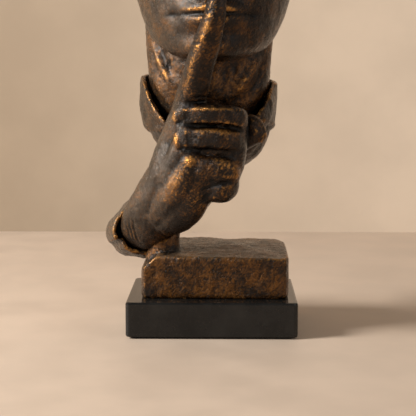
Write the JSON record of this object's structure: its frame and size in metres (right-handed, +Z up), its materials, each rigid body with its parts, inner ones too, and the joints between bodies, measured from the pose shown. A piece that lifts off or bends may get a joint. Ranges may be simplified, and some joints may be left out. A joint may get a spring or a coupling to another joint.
{
  "type": "face sculpture",
  "caption": "Table sculpture: a calm gilded bronze head with a raised finger on its lips, carried by one hand on a rough block over a polished black stone slab.",
  "frame": {"origin": "centre of the felt pad's underside, on the table", "axes": "+X to the right of someone who looks at the face, +Y away from them, +Z up"},
  "size_m": [0.1236, 0.1653, 0.3271],
  "materials": {
    "bronze_dark": "satin dark bronze patina with rubbed gilding on the ridges",
    "bronze_gilded": "satin bronze patina, warmer, with speckled gilding",
    "bronze_block": "mottled orange-brown patina, grey-brown and pitted on top",
    "black_stone": "polished",
    "felt": "short felt",
    "steel": "zinc plated",
    "brass": "turned"
  },
  "bodies": {
    "root": {"head": "bronze_dark", "neck": "bronze_dark", "collar": "bronze_dark", "hand": "bronze_gilded", "index_finger": "bronze_gilded", "sleeve_cuff": "bronze_dark", "plinth_block": "bronze_block", "stone_slab": "black_stone", "felt_pad": "felt", "wrist_stud": "steel", "stud_washer": "steel", "stud_nut": "steel", "neck_rod": "steel", "index_pin": "steel", "base_screw_front": "steel", "base_screw_back": "steel", "screw_washer_front": "steel", "screw_washer_back": "steel", "block_insert_front": "brass", "block_insert_back": "brass"}
  },
  "joints": []
}
